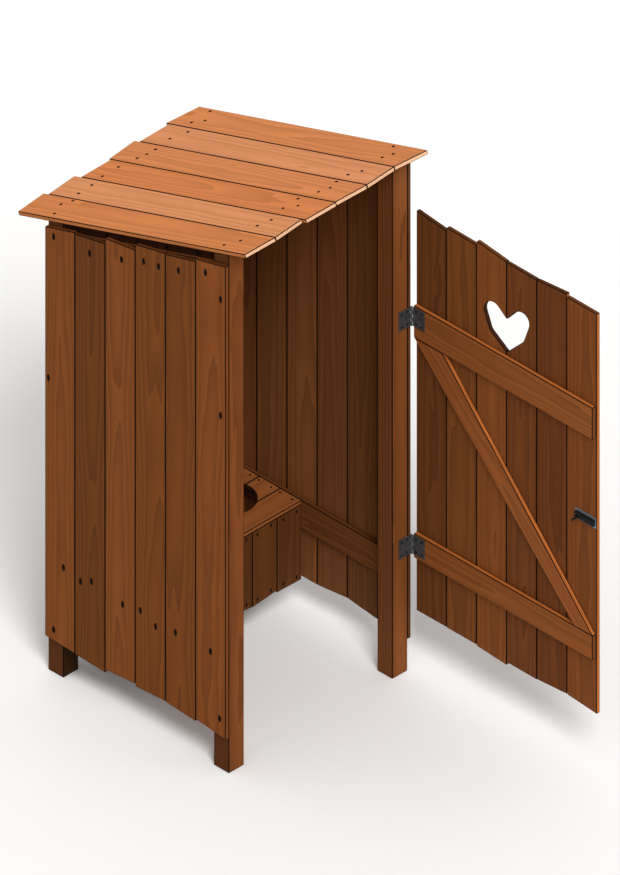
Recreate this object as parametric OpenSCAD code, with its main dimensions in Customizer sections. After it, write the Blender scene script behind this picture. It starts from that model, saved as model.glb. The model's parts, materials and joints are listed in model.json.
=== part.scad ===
// Wooden outhouse: a post frame clad in sawn boards, with a mono-pitch board roof that falls to the back,
// a two-hole bench on bare ground, and a ledged and braced door that stands open on the right.
// Millimetres, +Z up, +X to the right, +Y to the back.
// Modules are drawn in the plan frame: X from the left posts' outer face, Y from the front posts' front face.

/* [Frame] */
// Side of a square post
post = 73; // [60:1:90]
// Width over the outer faces of the posts
frame_w = 860; // [780:5:1000]
// Depth over the front and back faces of the posts
frame_d = 870; // [820:5:1000]
// Height of the roof's underside at the front face of the front posts
front_h = 2163; // [2100:1:2400]
// Slope of the roof in degrees
roof_pitch = 18.5; // [12:0.5:22]
// Thickness of the purlins, front to back
purlin_t = 40; // [30:1:55]
// Height of the purlins at their front face
purlin_h = 75; // [60:1:100]

/* [Boards] */
// Thickness of the sawn boards
board_t = 16; // [12:1:22]
// Open joint between neighbouring boards
board_gap = 2; // [1:0.5:4]
// Boards in each wall, in the roof and in the door
board_count = 6; // [4:1:8]
// Lowest end of the wall boards above the ground
wall_foot = 130; // [100:1:180]
// Least air gap between the tops of the side walls and the roof
side_vent = 17; // [10:1:40]
// Least air gap between the top of the back wall and the roof
back_vent = 34; // [20:1:45]

/* [Roof] */
// Overhang of the roof past the left posts
eave_left = 5; // [0:1:15]
// Overhang of the roof past the right posts
eave_right = 10; // [0:1:15]
// Overhang of the roof in front of the posts
eave_front = 86; // [60:1:150]
// Overhang of the roof behind the posts
eave_back = 163; // [100:1:250]

/* [Rails] */
// Height of the rails
rail_h = 120; // [90:1:140]
// Gap between the sloping top rails and the roof
rafter_drop = 40; // [30:1:60]

/* [Bench] */
// Height of the seat
seat_h = 470; // [420:1:520]
// Depth of the bench, from its front to the back of the back posts
bench_d = 375; // [340:1:420]
// Diameter of a seat hole
hole_d = 200; // [180:1:240]
// Centre of a seat hole from the nearer side wall
hole_side = 183; // [160:1:220]
// Centre of a seat hole from the back of the back posts
hole_back = 188; // [180:1:200]
// Side of the square cleats under the seat
cleat = 40; // [25:1:50]
// Side of the square bearers behind the bench front
bearer = 35; // [25:1:50]
// Height of the lower bearer's underside
bearer_z = 155; // [140:1:200]
// Boards in the bench front
bench_boards = 7; // [5:1:9]
// Lowest end of the bench front boards above the ground
bench_foot = 140; // [100:1:150]

/* [Door] */
// Distance of the shut door's free edge from the outer face of the left post
door_reveal = 6; // [0:1:10]
// Height of the door over its boards
door_h = 1667; // [1600:1:1800]
// Height of the door's lower end above the ground
door_foot = 236; // [150:1:300]
// Gap between the hinge axis and the door's edge
hinge_edge = 2; // [2:0.5:6]
// Distance of the ledges' ends from the edges of the door
ledge_inset = 4; // [4:0.5:8]
// Thickness of the ledges and the brace
ledge_t = 17; // [14:1:25]
// Height of the upper ledge's lower edge above the ground
upper_ledge_z = 1385; // [1250:1:1420]
// Height of the upper ledge
upper_ledge_h = 133; // [100:1:140]
// Height of the lower ledge's lower edge above the ground
lower_ledge_z = 466; // [400:1:600]
// Height of the lower ledge
lower_ledge_h = 102; // [90:1:140]
// Length of the brace's cut along the upper ledge
brace_head = 136; // [100:1:180]
// Length of the brace's cut along the lower ledge
brace_toe = 88; // [70:1:140]
// Width of the heart cut-out
heart_w = 215; // [180:1:230]
// Height of the heart from its tip to its notch
heart_h = 135; // [120:1:150]
// Radius of the heart's lobes
heart_lobe = 39; // [34:1:46]
// Height of the lobes' middles over the notch
heart_dip = 13; // [8:1:24]
// Radius of the heart's full sides
heart_belly = 38; // [30:1:44]
// Distance of the full sides' middles from the heart's middle
belly_u = 48; // [40:1:54]
// Height of the full sides' middles over the tip
belly_z = 90; // [84:1:96]
// Height of the heart's tip above the ground
heart_z = 1529; // [1524:1:1600]
// Rise of the hand-cut heart towards the door's free edge, for each mm of its width
heart_rise = 0.18; // [0:0.01:0.25]

/* [Hinges] */
// Length of a hinge leaf from the axis
leaf_w = 60; // [45:1:70]
// Height of a hinge leaf
leaf_h = 80; // [70:1:95]
// Thickness of a hinge leaf
leaf_t = 2; // [1.5:0.1:3]
// Distance of a hinge leaf's top under the upper edge of its ledge
leaf_drop = 6; // [4:1:8]
// Diameter of a hinge knuckle
knuckle_d = 7; // [6.6:0.1:9]
// Diameter of the hinge pin
pin_d = 4; // [3:0.1:4.5]
// Radial running clearance of pins and bolts in their bores
fit = 0.05; // [0.02:0.01:0.09]
// Diameter of a screw hole in a hinge leaf
screw_d = 5; // [4:0.5:6]
// Centre of the screw holes from the outer edges of a leaf
screw_edge = 14; // [10:1:18]
// Centre of the inner screw holes from the hinge axis
screw_axis = 20; // [14:1:24]

/* [Latch] */
// Length of the latch plate
latch_l = 98; // [90:1:120]
// Height of the latch plate
latch_h = 44; // [36:1:60]
// Thickness of the latch plate
latch_t = 2; // [1.5:0.1:3]
// Height of the latch plate's middle above the ground
latch_z = 1030; // [900:1:1200]
// Distance of the latch plate from the door's free edge
latch_edge = 2; // [1:1:15]
// Diameter of the bolt
bolt_d = 10; // [8:0.5:12]
// Travel of the bolt
bolt_travel = 20; // [15:1:24]
// Diameter of the knob
knob_d = 8; // [6:0.5:8]
// Length of the knob, from the bolt's middle
knob_l = 34; // [25:1:60]
// Height of the case that guides the bolt
case_h = 24; // [18:1:30]
// Thickness of the case over the bolt
case_wall = 2; // [1.5:0.1:3]
// Distance of the case from the ends of the latch plate
case_inset = 4; // [2:1:8]
// Chamfer along the case
case_chamfer = 4; // [1:0.5:5]

/* [Hidden] */
$fn = 64;

// Each pair trims the two corners of one board's end, because the boards are sawn by hand
LEFT_HEADS = [[27, 16], [27, 21], [17, 4], [28, 2], [25, 9], [3, 0]];
LEFT_FEET = [[17, 33], [23, 32], [34, 24], [34, 21], [8, 13], [15, 20]];
RIGHT_HEADS = [[20, 14], [25, 23], [12, 7], [27, 13], [10, 5], [7, 0]];
RIGHT_FEET = [[0, 10], [10, 26], [26, 9], [9, 8], [20, 14], [16, 22]];
BACK_HEADS = [[0, 6], [14, 9], [3, 12], [10, 2], [16, 11], [5, 8]];
BACK_FEET = [[16, 22], [28, 20], [13, 17], [24, 32], [19, 14], [26, 21]];
FRONT_EAVES = [[5, 3], [3, 21], [4, 4], [7, 2], [2, 16], [17, 0]];
BACK_EAVES = [[22, 1], [23, 3], [34, 32], [22, 0], [23, 20], [4, 20]];
BENCH_FEET = [[6, 10], [3, 8], [11, 4], [7, 12], [14, 2], [0, 11], [3, 0]];
DOOR_HEADS = [[0, 15], [-1, 1], [-17, -1], [1, 2], [1, -13], [-1, 0]];
DOOR_FEET = [[0, 1], [0, 0], [-4, -13], [0, -1], [1, 12], [11, 0]];

// The roof rests on the post heads and purlins with a hair of play
roof_play = 0.1;

// Hinge axis: on the right wall's outer face, with the knuckles just clear of the posts
knuckle_gap = 0.3;
axis_off = knuckle_d / 2 + knuckle_gap;
axis_x = frame_w + board_t;
axis_y = -axis_off;
door_free = axis_x - door_reveal;
door_w = door_free - hinge_edge;
ledge_x = axis_x + axis_off;
door_x = ledge_x + ledge_t;
door_mid = hinge_edge + door_w / 2;
door_v = axis_off + ledge_t;
ledge_ends = [hinge_edge + ledge_inset, door_free - ledge_inset];
hinge_tops = [upper_ledge_z + upper_ledge_h - leaf_drop, lower_ledge_z + lower_ledge_h - leaf_drop];
knuckle_count = 5;
knuckle_play = 0.5;

// The bench between the side rails
seat_rows = 3;
bench_y = frame_d - bench_d;
seat_bottom = seat_h - board_t;
bearer_y = bench_y + board_t;
back_post_y = frame_d - post;
back_rail_y = frame_d - board_t;
inner_w = frame_w - 2 * board_t;
cut_past = 1;

// The latch: the thrown knob just clears the left post when the door is shut
post_clear = 5;
knob_at = axis_x - post - post_clear - knob_d / 2;
knob_play = 1;
bolt_lift = 1;
bolt_over = latch_t + bolt_lift + bolt_d / 2;
bolt_tail = 8;
nose_back = 4;
bolt_end = door_free - nose_back;
plate_u = door_free - latch_edge - latch_l;
case_d = bolt_over + bolt_d / 2 + case_wall - latch_t;

// The origin is on the ground, at the middle of the box round the outhouse with its door open
left_face = -max(board_t, eave_left);
right_face = door_x + board_t;
front_face = axis_y - door_free;
back_face = frame_d + eave_back;
origin_x = (left_face + right_face) / 2;
origin_y = (front_face + back_face) / 2;

// Height of the roof's underside over a point of the plan
function under(y) = front_h - y * tan(roof_pitch);
// Distance down the slope at which the roof's top lies over a point of the plan
function slope_run(y) = (y - board_t * sin(roof_pitch)) / cos(roof_pitch);
// Spacing and width of boards that fill a width with open joints between them
function pitch(width, count) = (width + board_gap) / count;
function board_w(width, count) = pitch(width, count) - board_gap;
// Trim of one board's end; the pattern starts again on a wider wall
function trim(list, i) = list[i % len(list)];

// Moves the plan frame to the origin
module plan() { translate([-origin_x, -origin_y, 0]) children(); }

// A flat outline of [Y, Z] points, sawn out of timber of one thickness along X
module across(x, thick, outline) {
    translate([x, 0, 0]) rotate([90, 0, 90]) linear_extrude(thick) polygon(outline);
}

// A flat outline of [X, Z] points, sawn out of timber of one thickness along Y
module along(y, thick, outline) {
    translate([0, y + thick, 0]) rotate([90, 0, 0]) linear_extrude(thick) polygon(outline);
}

// A square timber from one corner to the opposite one
module timber(low, high) { translate(low) cube(high - low); }

// A post whose head is cut to the slope of the roof
module roof_post(x, y) {
    plan() color("#7A4421") across(x, post,
        [[y, 0], [y + post, 0], [y + post, under(y + post)], [y, under(y)]]);
}

module front_left_post() { roof_post(0, 0); }
module front_right_post() { roof_post(frame_w - post, 0); }
module back_left_post() { roof_post(0, back_post_y); }
module back_right_post() { roof_post(frame_w - post, back_post_y); }

// Upright boards along Y whose heads follow the roof and whose ends are sawn unevenly
module side_wall(x, heads, feet) {
    wide = board_w(frame_d, board_count);
    for (i = [0 : board_count - 1]) {
        y0 = i * pitch(frame_d, board_count);
        y1 = y0 + wide;
        head = trim(heads, i);
        foot = trim(feet, i);
        across(x, board_t, [
            [y0, wall_foot + foot[0]], [y1, wall_foot + foot[1]],
            [y1, under(y1) - side_vent - head[1]], [y0, under(y0) - side_vent - head[0]]
        ]);
    }
}

module left_wall() { plan() color("#6E3D1E") side_wall(-board_t, LEFT_HEADS, LEFT_FEET); }
module right_wall() { plan() color("#6E3D1E") side_wall(frame_w, RIGHT_HEADS, RIGHT_FEET); }

// Upright boards on the outside of the back posts
module back_wall() {
    wide = board_w(frame_w, board_count);
    top = under(frame_d + board_t) - back_vent;
    plan() color("#6E3D1E") for (i = [0 : board_count - 1]) {
        x0 = i * pitch(frame_w, board_count);
        head = trim(BACK_HEADS, i);
        foot = trim(BACK_FEET, i);
        along(frame_d, board_t, [
            [x0, wall_foot + foot[0]], [x0 + wide, wall_foot + foot[1]],
            [x0 + wide, top - head[1]], [x0, top - head[0]]
        ]);
    }
}

// Roof boards that run down the slope, with uneven ends at both eaves
module roof() {
    roof_w = frame_w + eave_left + eave_right;
    wide = board_w(roof_w, board_count);
    plan() color("#CD814C") translate([-eave_left, 0, front_h + roof_play]) rotate([-roof_pitch, 0, 0])
        for (i = [0 : board_count - 1]) {
            x0 = i * pitch(roof_w, board_count);
            low = -eave_front * [1, 1] + trim(FRONT_EAVES, i);
            high = (frame_d + eave_back) * [1, 1] - trim(BACK_EAVES, i);
            linear_extrude(board_t) polygon([
                [x0, slope_run(low[0])], [x0 + wide, slope_run(low[1])],
                [x0 + wide, slope_run(high[1])], [x0, slope_run(high[0])]
            ]);
        }
}

// A purlin between two posts, with its top bevelled to carry the roof
module purlin(y) {
    foot = under(y) - purlin_h;
    plan() color("#5C321B") across(post, frame_w - 2 * post,
        [[y, foot], [y + purlin_t, foot], [y + purlin_t, under(y + purlin_t)], [y, under(y)]]);
}

module front_purlin() { purlin(post - purlin_t); }
module back_purlin() { purlin(frame_d - purlin_t); }

// A board inside a side wall that runs from post to post under the roof
module top_rail(x) {
    top = -rafter_drop;
    plan() color("#5C321B") across(x, board_t, [
        [post, under(post) + top - rail_h], [back_post_y, under(back_post_y) + top - rail_h],
        [back_post_y, under(back_post_y) + top], [post, under(post) + top]
    ]);
}

module left_top_rail() { top_rail(0); }
module right_top_rail() { top_rail(frame_w - board_t); }

// A level board inside a side wall, with its top edge flush with the seat
module side_rail(x) {
    plan() color("#5C321B") timber([x, post, seat_h - rail_h], [x + board_t, back_post_y, seat_h]);
}

module left_rail() { side_rail(0); }
module right_rail() { side_rail(frame_w - board_t); }
module back_rail() {
    plan() color("#5C321B") timber([post, back_rail_y, seat_h - rail_h], [frame_w - post, frame_d, seat_h]);
}

// One board of the seat, with the part of each hole that crosses it
module seat_board(row) {
    depth = back_post_y - bench_y;
    y0 = bench_y + row * pitch(depth, seat_rows);
    plan() color("#7A4421") difference() {
        timber([board_t, y0, seat_bottom], [frame_w - board_t, y0 + board_w(depth, seat_rows), seat_h]);
        for (x = [hole_side, frame_w - hole_side])
            translate([x, frame_d - hole_back, seat_bottom - cut_past])
                cylinder(d = hole_d, h = board_t + 2 * cut_past);
    }
}

module seat_front_board() { seat_board(0); }
module seat_middle_board() { seat_board(1); }
module seat_back_board() { seat_board(2); }

// The narrow board that fills the seat between the back posts
module seat_filler_board() {
    plan() color("#7A4421")
        timber([post, back_post_y + board_gap, seat_bottom], [frame_w - post, back_rail_y, seat_h]);
}

// Square cleats under the ends and the back of the seat, fixed to the rails
module side_cleat(x) {
    plan() color("#5C321B")
        timber([x, bearer_y + bearer, seat_bottom - cleat], [x + cleat, back_post_y, seat_bottom]);
}

module left_seat_cleat() { side_cleat(board_t); }
module right_seat_cleat() { side_cleat(frame_w - board_t - cleat); }
module back_seat_cleat() {
    plan() color("#5C321B")
        timber([post, back_rail_y - cleat, seat_bottom - cleat], [frame_w - post, back_rail_y, seat_bottom]);
}

// The batten that holds the seat boards together between the holes
module seat_batten() {
    plan() color("#5C321B") timber([(frame_w - cleat) / 2, bearer_y + bearer, seat_bottom - cleat],
        [(frame_w + cleat) / 2, back_rail_y - cleat, seat_bottom]);
}

// Upright boards that close the front of the bench under the seat
module bench_front() {
    wide = board_w(inner_w, bench_boards);
    plan() color("#54301A") for (i = [0 : bench_boards - 1]) {
        x0 = board_t + i * pitch(inner_w, bench_boards);
        foot = trim(BENCH_FEET, i);
        along(bench_y, board_t, [
            [x0, bench_foot + foot[0]], [x0 + wide, bench_foot + foot[1]],
            [x0 + wide, seat_bottom], [x0, seat_bottom]
        ]);
    }
}

// Bearers that the bench front is nailed to: one between the rails, one between the walls
module bench_top_bearer() {
    plan() color("#5C321B")
        timber([board_t, bearer_y, seat_bottom - bearer], [frame_w - board_t, bearer_y + bearer, seat_bottom]);
}
module bench_bottom_bearer() {
    plan() color("#5C321B")
        timber([0, bearer_y, bearer_z], [frame_w, bearer_y + bearer, bearer_z + bearer]);
}

// Door pieces are drawn shut-side first: U runs from the hinge axis to the free edge, V away from the ledges
module door_frame() { plan() translate([axis_x, axis_y, 0]) rotate([0, 0, -90]) children(); }

// A flat outline of [U, Z] points, from one V to a thickness behind it
module on_door(v, thick, outline) { along(v, thick, outline); }

// A heart with a straight notch, round lobes and full sides, its upright middle kept where the halves rise
module heart() {
    multmatrix([[1, 0, 0, 0], [heart_rise, 1, 0, 0], [0, 0, 1, 0], [0, 0, 0, 1]])
        for (side = [-1, 1]) scale([side, 1]) hull() {
            polygon([[0, 0], [heart_lobe, heart_h], [-cut_past, heart_h]]);
            translate([belly_u, belly_z]) circle(heart_belly);
            translate([heart_w / 2 - heart_lobe, heart_h + heart_dip]) circle(heart_lobe);
        }
}

// Door boards from one number up to another, with uneven ends
module door_boards(first, last) {
    wide = board_w(door_w, board_count);
    for (i = [first : 1 : last]) {
        u0 = hinge_edge + i * pitch(door_w, board_count);
        head = trim(DOOR_HEADS, i);
        foot = trim(DOOR_FEET, i);
        on_door(door_v, board_t, [
            [u0, door_foot + foot[0]], [u0 + wide, door_foot + foot[1]],
            [u0 + wide, door_foot + door_h - head[1]], [u0, door_foot + door_h - head[0]]
        ]);
    }
}

// The boards that the heart crosses are the middle ones
heart_first = floor((door_w - heart_w) / 2 / pitch(door_w, board_count));
heart_last = board_count - 1 - heart_first;

module door_hinge_boards() { door_frame() color("#5C321B") door_boards(0, heart_first - 1); }
module door_latch_boards() { door_frame() color("#64391C") door_boards(heart_last + 1, board_count - 1); }
module door_heart_boards() {
    door_frame() color("#703F1E") difference() {
        door_boards(heart_first, heart_last);
        translate([door_mid, door_v + board_t + cut_past, heart_z]) rotate([90, 0, 0])
            linear_extrude(board_t + 2 * cut_past) heart();
    }
}

// A level board across the inside of the door
module ledge(z, height) {
    door_frame() color("#7A4421") on_door(axis_off, ledge_t,
        [[ledge_ends[0], z], [ledge_ends[1], z], [ledge_ends[1], z + height], [ledge_ends[0], z + height]]);
}

module upper_ledge() { ledge(upper_ledge_z, upper_ledge_h); }
module lower_ledge() { ledge(lower_ledge_z, lower_ledge_h); }

// The brace that slopes from the upper ledge at the hinges to the lower ledge at the free edge
module door_brace() {
    top = upper_ledge_z;
    foot = lower_ledge_z + lower_ledge_h;
    door_frame() color("#7A4421") on_door(axis_off, ledge_t,
        [[ledge_ends[0], top], [ledge_ends[0] + brace_head, top], [ledge_ends[1], foot], [ledge_ends[1] - brace_toe, foot]]);
}

// One leaf of a butt hinge about its own pin line: plate along +X, wood side at +Y; set 0 keeps the pin
module hinge_leaf(top, set) {
    step = leaf_h / knuckle_count;
    color("#555555") translate([0, 0, top - leaf_h]) difference() {
        union() {
            translate([axis_off, axis_off - leaf_t, 0]) cube([leaf_w - axis_off, leaf_t, leaf_h]);
            for (i = [set : 2 : knuckle_count - 1]) translate([0, 0, i * step + knuckle_play / 2]) {
                cylinder(d = knuckle_d, h = step - knuckle_play);
                translate([0, axis_off - leaf_t, 0]) cube([axis_off, leaf_t, step - knuckle_play]);
            }
            if (set == 0) cylinder(d = pin_d, h = leaf_h - knuckle_play / 2);
        }
        if (set == 1) translate([0, 0, -cut_past]) cylinder(d = pin_d + 2 * fit, h = leaf_h + 2 * cut_past);
        for (x = [screw_axis, leaf_w - screw_edge], z = [screw_edge, leaf_h - screw_edge])
            translate([x, axis_off + cut_past, z]) rotate([90, 0, 0])
                cylinder(d = screw_d, h = leaf_t + 2 * cut_past);
    }
}

module post_leaf(top) { plan() translate([axis_x, axis_y, 0]) mirror([1, 0, 0]) hinge_leaf(top, 0); }
module door_leaf(top) { door_frame() hinge_leaf(top, 1); }

module upper_hinge_post_leaf() { post_leaf(hinge_tops[0]); }
module upper_hinge_door_leaf() { door_leaf(hinge_tops[0]); }
module lower_hinge_post_leaf() { post_leaf(hinge_tops[1]); }
module lower_hinge_door_leaf() { door_leaf(hinge_tops[1]); }

// Places a shape that runs along +Z at the bolt's line, from a distance along the door towards the free edge
module on_bolt_line(u) { translate([u, door_v - bolt_over, latch_z]) rotate([0, 90, 0]) children(); }

module latch_plate() {
    door_frame() color("#646E78")
        translate([plate_u, door_v - latch_t, latch_z - latch_h / 2]) cube([latch_l, latch_t, latch_h]);
}

// The case on the plate that guides the bolt, with a slot for the knob that runs out at its hinge end
module latch_case() {
    half = case_h / 2;
    back = door_v - latch_t;
    slot_w = knob_d + 2 * knob_play;
    door_frame() color("#2B2D31") difference() {
        translate([0, 0, latch_z]) across(plate_u + case_inset, latch_l - 2 * case_inset, [
            [back, -half], [back, half], [back - case_d + case_chamfer, half], [back - case_d, half - case_chamfer],
            [back - case_d, case_chamfer - half], [back - case_d + case_chamfer, -half]
        ]);
        on_bolt_line(plate_u) cylinder(d = bolt_d + 2 * fit, h = latch_l);
        translate([plate_u, back - case_d - cut_past, latch_z - slot_w / 2])
            cube([knob_at + slot_w / 2 - plate_u, case_wall + bolt_d / 2 + cut_past, slot_w]);
    }
}

// The sliding bolt, with a knob that stands off the door
module latch_bolt() {
    door_frame() color("#646E78") {
        on_bolt_line(knob_at - bolt_tail) cylinder(d = bolt_d, h = bolt_end - knob_at + bolt_tail);
        translate([knob_at, door_v - bolt_over, latch_z]) rotate([90, 0, 0]) {
            cylinder(d = knob_d, h = knob_l);
            translate([0, 0, knob_l]) sphere(d = knob_d);
        }
    }
}

front_left_post();
front_right_post();
back_left_post();
back_right_post();
left_wall();
right_wall();
back_wall();
roof();
front_purlin();
back_purlin();
left_top_rail();
right_top_rail();
left_rail();
right_rail();
back_rail();
seat_front_board();
seat_middle_board();
seat_back_board();
seat_filler_board();
left_seat_cleat();
right_seat_cleat();
back_seat_cleat();
seat_batten();
bench_front();
bench_top_bearer();
bench_bottom_bearer();
door_hinge_boards();
door_heart_boards();
door_latch_boards();
upper_ledge();
lower_ledge();
door_brace();
upper_hinge_post_leaf();
upper_hinge_door_leaf();
lower_hinge_post_leaf();
lower_hinge_door_leaf();
latch_plate();
latch_case();
latch_bolt();
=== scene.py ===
"""Dresses the wooden outhouse: stained sawn boards, iron nails, black butt hinges and a slide bolt.

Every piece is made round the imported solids, in their frame, in metres. The boards are cut from the solids they stand
for, get eased arrises and carry their own grain direction and stain, so that no two boards show the same figure.
"""

from __future__ import annotations

import json
import logging
import math
import random
from collections.abc import Iterable, Sequence
from dataclasses import dataclass, field
from enum import Enum
from typing import Any

import bmesh
import bpy
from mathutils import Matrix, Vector

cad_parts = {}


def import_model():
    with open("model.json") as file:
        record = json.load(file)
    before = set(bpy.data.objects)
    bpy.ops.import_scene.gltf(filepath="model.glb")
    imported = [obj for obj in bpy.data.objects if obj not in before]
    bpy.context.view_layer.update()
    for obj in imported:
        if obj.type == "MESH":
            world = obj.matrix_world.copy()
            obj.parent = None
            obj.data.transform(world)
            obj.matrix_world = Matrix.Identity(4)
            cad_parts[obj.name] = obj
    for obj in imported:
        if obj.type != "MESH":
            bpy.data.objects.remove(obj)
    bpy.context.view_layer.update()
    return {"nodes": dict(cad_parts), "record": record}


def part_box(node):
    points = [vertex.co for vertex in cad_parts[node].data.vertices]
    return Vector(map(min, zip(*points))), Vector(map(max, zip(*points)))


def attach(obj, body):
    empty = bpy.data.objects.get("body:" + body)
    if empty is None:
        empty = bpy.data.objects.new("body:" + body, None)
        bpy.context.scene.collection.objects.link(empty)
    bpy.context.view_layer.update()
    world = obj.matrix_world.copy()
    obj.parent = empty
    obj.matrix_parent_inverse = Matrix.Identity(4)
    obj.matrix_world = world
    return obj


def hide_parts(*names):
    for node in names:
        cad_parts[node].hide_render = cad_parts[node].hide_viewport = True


LOG = logging.getLogger("outhouse")
MM = 0.001

Colour = tuple[float, float, float, float]
Spot = tuple[Vector, Vector]
Tree = bpy.types.NodeTree
Socket = bpy.types.NodeSocket
Piece = bpy.types.Object
Mesh = bmesh.types.BMesh
Face = bmesh.types.BMFace

LEFT = Vector((-1.0, 0.0, 0.0))
RIGHT = Vector((1.0, 0.0, 0.0))
FRONT = Vector((0.0, -1.0, 0.0))
BACK = Vector((0.0, 1.0, 0.0))
TOP = Vector((0.0, 0.0, 1.0))

# A skew direction that tells apart faces and edges of equal size, so that each run picks the same one.
TIE_BREAK = Vector((1.0, 0.7, 0.4))
# Share of the widest face's area from which another face counts as equally wide.
SAME_AREA = 0.995
# Cosine under which a face lies along the grain, and over which one faces the way that gets painted shade.
ALONG_LIMIT = 0.5
PAINTED_SHADE_LIMIT = 0.9

# Points nearer than this are one, and faces closer to one plane than this are one.
WOOD_WELD_MM = 0.005
STEEL_WELD_MM = 0.002
FLAT_DEG = 0.5
# Angle between two faces from which the edge between them is eased.
WOOD_SHARP_DEG = 30.0
STEEL_SHARP_DEG = 50.0

# Where the pith may lie from a board's middle, along, across and through it. The first only shifts the figure.
PITH_M = ((0.0, 9.0), (-0.03, 0.03), (0.05, 0.12))
# Arrises are stained near black and the sawn curves of cut-outs dark brown; ends drink more stain than faces.
ARRIS_STAIN = "#0E0603"
CUT_STAIN = "#3C2010"
END_SHADE = 0.7

# Where two nails stand across a board, and how far the hand strays, as shares of its width.
NAIL_SHARES = (0.24, 0.76)
NAIL_STRAY = 0.08


def linear(hex_colour: str) -> Colour:
    """Turns an sRGB hex value into a linear colour.

    Args:
        hex_colour: Six hex digits after a hash sign.

    Returns:
        Red, green and blue in linear light, and an alpha of 1.
    """
    channels = [int(hex_colour[i : i + 2], 16) / 255 for i in (1, 3, 5)]
    return (*[c / 12.92 if c <= 0.04045 else ((c + 0.055) / 1.055) ** 2.4 for c in channels], 1.0)


def add_node(
    tree: Tree, kind: str, settings: dict[str, Any] | None = None, inputs: dict[Any, Any] | None = None
) -> bpy.types.Node:
    """Adds one node with its settings and links.

    Args:
        tree: The node tree to add to.
        kind: Blender's name for the kind of node.
        settings: Values for the node's own properties.
        inputs: Values or sockets for its inputs, by name or number.

    Returns:
        The new node.
    """
    node = tree.nodes.new(kind)
    for name, value in (settings or {}).items():
        setattr(node, name, value)
    for key, value in (inputs or {}).items():
        if isinstance(value, Socket):
            tree.links.new(value, node.inputs[key])
        else:
            node.inputs[key].default_value = value
    return node


def new_material(name: str) -> tuple[bpy.types.Material, Tree, bpy.types.Node]:
    """Makes a bare material.

    Args:
        name: The material's name.

    Returns:
        The material, its node tree and its principled shader.
    """
    material = bpy.data.materials.new(name)
    material.use_nodes = True
    tree = material.node_tree
    tree.nodes.clear()
    shader = add_node(tree, "ShaderNodeBsdfPrincipled")
    add_node(tree, "ShaderNodeOutputMaterial", inputs={"Surface": shader.outputs[0]})
    return material, tree, shader


def calc(tree: Tree, operation: str, *values: Any) -> Socket:
    """Adds one step of arithmetic.

    Args:
        tree: The node tree to add to.
        operation: Blender's name for the step.
        values: Numbers or sockets that it takes.

    Returns:
        The socket of the result.
    """
    return add_node(tree, "ShaderNodeMath", {"operation": operation}, dict(enumerate(values))).outputs[0]


def spread(tree: Tree, value: Socket, to: Sequence[float], span: Sequence[float] = (0.0, 1.0)) -> Socket:
    """Spreads a value over another range.

    Args:
        tree: The node tree to add to.
        value: The socket of the value.
        to: Ends of the new range.
        span: Ends of the old range.

    Returns:
        The socket of the result.
    """
    ends = dict(zip(("From Min", "From Max", "To Min", "To Max"), (*span, *to)))
    return add_node(tree, "ShaderNodeMapRange", inputs={"Value": value, **ends}).outputs["Result"]


def noise(tree: Tree, place: Socket, per_m: Sequence[float], detail: float) -> Socket:
    """Adds a noise of a given fineness in each direction.

    Args:
        tree: The node tree to add to.
        place: The socket of the place, in metres.
        per_m: How often the noise changes in a metre, in each direction.
        detail: How many finer layers it has.

    Returns:
        A socket from 0 to 1.
    """
    stretched = add_node(tree, "ShaderNodeVectorMath", {"operation": "MULTIPLY"}, {0: place, 1: per_m})
    inputs = {"Vector": stretched.outputs[0], "Scale": 1.0, "Detail": detail}
    return add_node(tree, "ShaderNodeTexNoise", inputs=inputs).outputs["Fac"]


class Run(Enum):
    """The way a piece of timber, its grain or a row of boards runs."""

    UP = (0.0, 0.0, 1.0)
    ACROSS = (1.0, 0.0, 0.0)
    DEEP = (0.0, 1.0, 0.0)
    LONGEST = None


class Side(Enum):
    """The kinds of surface that a sawn board has."""

    FACE = "face"
    EDGE = "edge"
    END = "end"
    CUT = "cut"
    PAINTED_SHADE = "painted_shade"
    ARRIS = "arris"


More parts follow.
